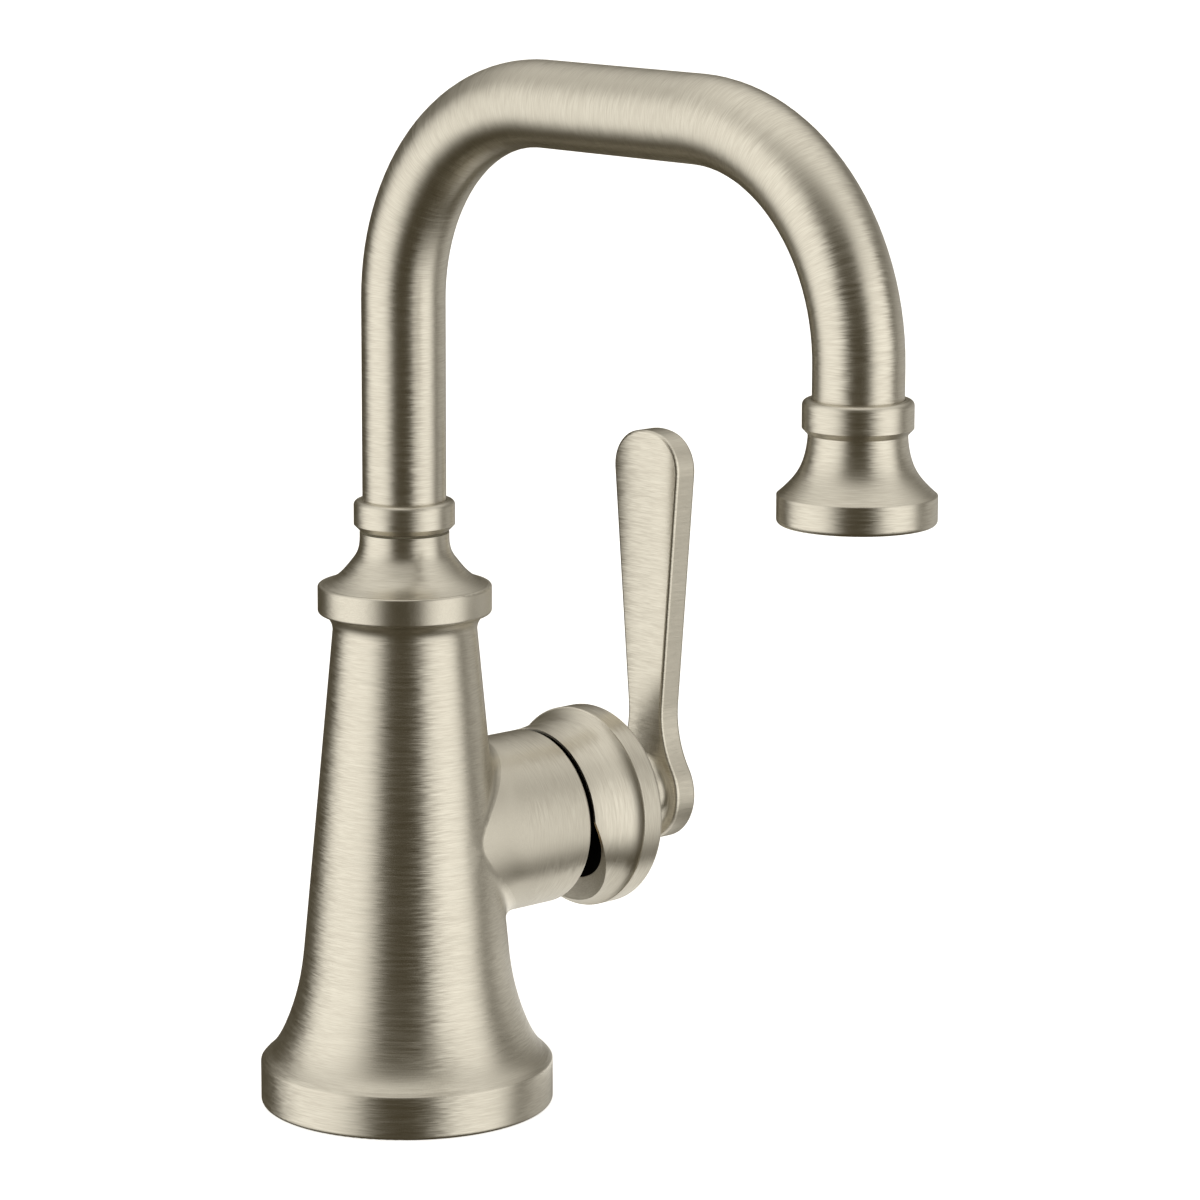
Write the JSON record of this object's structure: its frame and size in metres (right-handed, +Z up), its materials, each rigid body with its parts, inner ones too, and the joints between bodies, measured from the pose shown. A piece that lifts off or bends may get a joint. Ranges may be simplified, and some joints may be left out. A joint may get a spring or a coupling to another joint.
{
  "type": "bathroom faucet",
  "caption": "High-arc bathroom faucet with a flared bell body, a swivelling bent tube spout with a bell outlet, and a side lever on a flared cap.",
  "frame": {"origin": "centre of the foot on the deck plane, midway between the two stud threads", "axes": "+Z up along the body; the spout points to -Y towards the user; the valve stub and lever point to +X"},
  "size_m": [0.1155, 0.1921, 0.2432],
  "materials": {
    "brushed_nickel": "brushed nickel plate over brass",
    "brass": "machined brass",
    "steel": "plain turned steel",
    "rubber": "moulded black rubber",
    "black_acetal": "moulded black acetal",
    "bronze_ptfe": "moulded bronze-filled PTFE",
    "white_acetal": "moulded white acetal",
    "grey_plastic": "moulded grey plastic",
    "red_plastic": "moulded red plastic",
    "ceramic": "lapped alumina ceramic"
  },
  "bodies": {
    "body": {"body_shell": "brushed_nickel", "neck_collar": "brushed_nickel", "glide_ring": "bronze_ptfe", "deck_gasket": "rubber", "base_plate": "steel", "base_screws": "steel", "waterway": "brass", "hot_inlet_nut": "brass", "cold_inlet_nut": "brass", "cartridge_base": "white_acetal", "cartridge_housing": "grey_plastic", "port_seals": "rubber", "fixed_disc": "ceramic", "retaining_nut": "brass"},
    "mixer": {"stem_guide": "black_acetal", "pivot_pin": "steel", "limit_ring": "red_plastic"},
    "disc": {"moving_disc": "ceramic", "disc_carrier": "white_acetal"},
    "handle": {"stem": "steel", "handle_cap": "brushed_nickel", "lever": "brushed_nickel", "set_screw": "steel"},
    "spout": {"spout_tube": "brushed_nickel", "spout_ring": "brushed_nickel", "spout_nipple": "brass", "spout_o_rings": "rubber", "spout_clip": "steel", "outlet_bell": "brushed_nickel", "aerator_housing": "white_acetal", "aerator_core": "white_acetal", "aerator_screen": "grey_plastic", "aerator_washer": "rubber"}
  },
  "joints": [
    {"name": "spout_swivel", "type": "hinge", "parent": "body", "child": "spout", "pos_m": [0, 0, 0.1342], "axis": [0, 0, 1], "range_deg": [-60, 60]},
    {"name": "temperature_turn", "type": "hinge", "parent": "body", "child": "mixer", "pos_m": [0.028, 0, 0.061], "axis": [1, 0, 0], "range_deg": [-50, 50]},
    {"name": "lever_lift", "type": "hinge", "parent": "mixer", "child": "handle", "pos_m": [0.028, 0, 0.061], "axis": [0, 1, 0], "range_deg": [0, 20]},
    {"name": "disc_slide", "type": "slide", "parent": "mixer", "child": "disc", "axis": [0, 0, 1], "range_m": [0, 0.0025]}
  ],
  "couplings": [
    {"joint": "disc_slide", "follows": "lever_lift", "m_per_rad": 0.0071}
  ]
}
